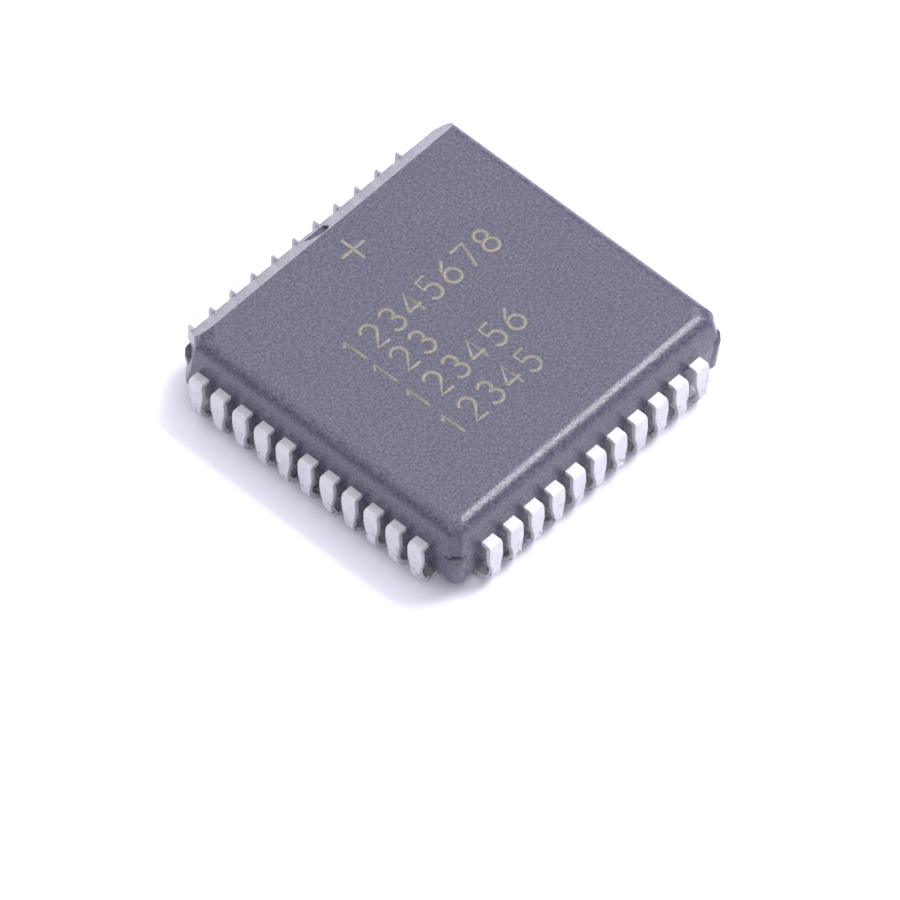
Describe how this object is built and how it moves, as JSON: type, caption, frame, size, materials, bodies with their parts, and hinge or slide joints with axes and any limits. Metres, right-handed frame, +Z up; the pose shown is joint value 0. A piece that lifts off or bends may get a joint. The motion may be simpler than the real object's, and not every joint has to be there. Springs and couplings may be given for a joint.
{
  "type": "plastic leaded chip carrier",
  "caption": "Square surface-mount chip package: moulded dark body with a bevelled index side and notch, and J-shaped leads curled under all sides.",
  "frame": {"origin": "middle of the square outline, on the plane that the leads stand on", "axes": "+Z up through the top face; +Y towards the bevelled side with the index notch; +X to the right as the top face is read"},
  "size_m": [0.0176, 0.0176, 0.0044],
  "materials": {
    "compound": "dark moulded epoxy compound, finely speckled, with pale printed marks",
    "tin": "matte tin plating on copper alloy leads",
    "copper": "bare copper alloy of the stamped die pad and its tie bars",
    "die_adhesive": "silver-filled epoxy",
    "silicon": "polished silicon"
  },
  "bodies": {
    "root": {"moulded_body": "compound", "lead_01": "tin", "lead_02": "tin", "lead_03": "tin", "lead_04": "tin", "lead_05": "tin", "lead_06": "tin", "lead_07": "tin", "lead_08": "tin", "lead_09": "tin", "lead_10": "tin", "lead_11": "tin", "lead_12": "tin", "lead_13": "tin", "lead_14": "tin", "lead_15": "tin", "lead_16": "tin", "lead_17": "tin", "lead_18": "tin", "lead_19": "tin", "lead_20": "tin", "lead_21": "tin", "lead_22": "tin", "lead_23": "tin", "lead_24": "tin", "lead_25": "tin", "lead_26": "tin", "lead_27": "tin", "lead_28": "tin", "lead_29": "tin", "lead_30": "tin", "lead_31": "tin", "lead_32": "tin", "lead_33": "tin", "lead_34": "tin", "lead_35": "tin", "lead_36": "tin", "lead_37": "tin", "lead_38": "tin", "lead_39": "tin", "lead_40": "tin", "lead_41": "tin", "lead_42": "tin", "lead_43": "tin", "lead_44": "tin", "die_pad": "copper", "die_adhesive": "die_adhesive", "silicon_die": "silicon"}
  },
  "joints": []
}
